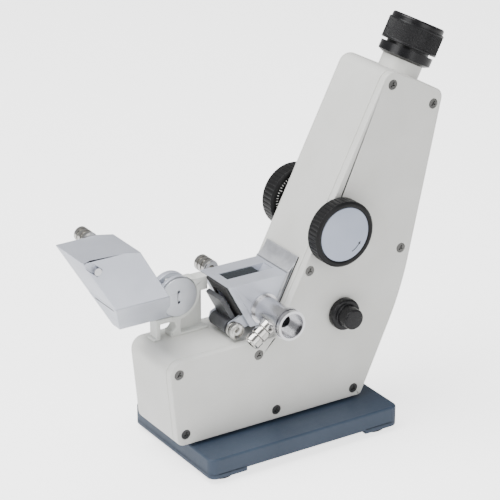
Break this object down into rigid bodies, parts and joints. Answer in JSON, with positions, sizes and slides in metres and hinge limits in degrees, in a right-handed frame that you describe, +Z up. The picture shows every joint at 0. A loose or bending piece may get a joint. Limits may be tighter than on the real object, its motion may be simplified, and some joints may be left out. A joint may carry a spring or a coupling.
{
  "type": "abbe refractometer",
  "caption": "Bench refractometer: slanted telescope column on a base plate, hinged prism pair with thermometer socket, hand wheels and a knurled eyepiece.",
  "frame": {"origin": "centre of the bounding box at the underside of the feet, prism pair open as in the picture", "axes": "+X along the base towards the telescope column, +Y away from the side with the screwed cover, +Z up"},
  "size_m": [0.2462, 0.088, 0.2407],
  "materials": {
    "base_plate": "satin slate-blue paint",
    "base_feet": "matte",
    "base_spacer": "matte",
    "base_screws": "satin",
    "main_casing": "fine satin off-white paint",
    "side_cover": "fine satin off-white paint",
    "cover_screws": "satin",
    "lock_wheel_rim": "satin",
    "lock_wheel_disc": "satin anodised",
    "lock_shaft": "satin",
    "dispersion_wheel": "satin",
    "dispersion_scale": "black anodised with pale graduations",
    "dispersion_shaft": "satin",
    "index_knob": "semi-gloss",
    "index_shaft": "satin",
    "scale_disc": "clear",
    "telescope_tube": "black anodised",
    "objective_lens": "clear",
    "eyepiece_neck": "satin white paint",
    "eyepiece_collar": "semi-gloss",
    "dioptre_ring": "knurled",
    "eye_cap": "semi-gloss",
    "eye_lens": "coated",
    "prism_bracket": "cast, white paint",
    "prism_housing": "satin plated",
    "entry_frame": "satin plated",
    "light_mask": "matte black",
    "prism_flange": "bead-blasted",
    "flange_gasket": "matte black",
    "refracting_prism": "polished",
    "thermometer_socket": "satin chrome",
    "socket_nozzle": "polished",
    "housing_nozzle": "polished",
    "incident_housing": "satin plated",
    "hinge_arm": "satin plated",
    "incident_prism": "frosted face",
    "hinge_pin": "ground",
    "hinge_cap": "turned face",
    "latch_pin": "polished",
    "mount_nozzle": "polished",
    "shade_plate": "blackened",
    "mirror_frame": "dark satin",
    "mirror_glass": "silvered",
    "mirror_shaft": "satin",
    "mirror_knob": "knurled nickel"
  },
  "bodies": {
    "instrument": {"base_plate": "base_plate", "base_feet": "base_feet", "base_spacer": "base_spacer", "base_screws": "base_screws", "main_casing": "main_casing", "side_cover": "side_cover", "cover_screws": "cover_screws", "telescope_tube": "telescope_tube", "objective_lens": "objective_lens", "eyepiece_neck": "eyepiece_neck", "eyepiece_collar": "eyepiece_collar", "prism_bracket": "prism_bracket", "prism_housing": "prism_housing", "entry_frame": "entry_frame", "light_mask": "light_mask", "prism_flange": "prism_flange", "flange_gasket": "flange_gasket", "refracting_prism": "refracting_prism", "thermometer_socket": "thermometer_socket", "socket_nozzle": "socket_nozzle", "housing_nozzle": "housing_nozzle"},
    "incident_mount": {"incident_housing": "incident_housing", "hinge_arm": "hinge_arm", "incident_prism": "incident_prism", "hinge_pin": "hinge_pin", "hinge_cap": "hinge_cap", "latch_pin": "latch_pin", "mount_nozzle": "mount_nozzle"},
    "shade": {"shade_plate": "shade_plate"},
    "reflector": {"mirror_frame": "mirror_frame", "mirror_glass": "mirror_glass", "mirror_shaft": "mirror_shaft", "mirror_knob": "mirror_knob"},
    "lock_wheel": {"lock_wheel_rim": "lock_wheel_rim", "lock_wheel_disc": "lock_wheel_disc", "lock_shaft": "lock_shaft"},
    "dispersion": {"dispersion_wheel": "dispersion_wheel", "dispersion_scale": "dispersion_scale", "dispersion_shaft": "dispersion_shaft"},
    "index": {"index_knob": "index_knob", "index_shaft": "index_shaft", "scale_disc": "scale_disc"},
    "dioptre": {"dioptre_ring": "dioptre_ring", "eye_cap": "eye_cap", "eye_lens": "eye_lens"}
  },
  "joints": [
    {"name": "prism_hinge", "type": "hinge", "parent": "instrument", "child": "incident_mount", "pos_m": [-0.05006, 0.012, 0.0947], "axis": [0, 1, 0], "range_deg": [0, 120.1]},
    {"name": "shade_slide", "type": "slide", "parent": "incident_mount", "child": "shade", "axis": [-1, 0, 0], "range_m": [0, 0.02]},
    {"name": "reflector_hinge", "type": "hinge", "parent": "instrument", "child": "reflector", "pos_m": [-0.02656, -0.003, 0.0768], "axis": [0, -1, 0], "range_deg": [0, 35]},
    {"name": "lock_turn", "type": "hinge", "parent": "instrument", "child": "lock_wheel", "pos_m": [0.03524, -0.028, 0.1286], "axis": [0, -1, 0], "range_deg": [-45, 45]},
    {"name": "dispersion_turn", "type": "hinge", "parent": "instrument", "child": "dispersion", "pos_m": [0.04464, 0.03, 0.1285], "axis": [0, 1, 0], "continuous": true},
    {"name": "index_turn", "type": "hinge", "parent": "instrument", "child": "index", "pos_m": [0.04194, -0.028, 0.0744], "axis": [0, 1, 0], "continuous": true},
    {"name": "dioptre_turn", "type": "hinge", "parent": "instrument", "child": "dioptre", "pos_m": [0.09491, 0.0015, 0.20563], "axis": [0.4571, 0, 0.8894], "range_deg": [-150, 150]}
  ]
}
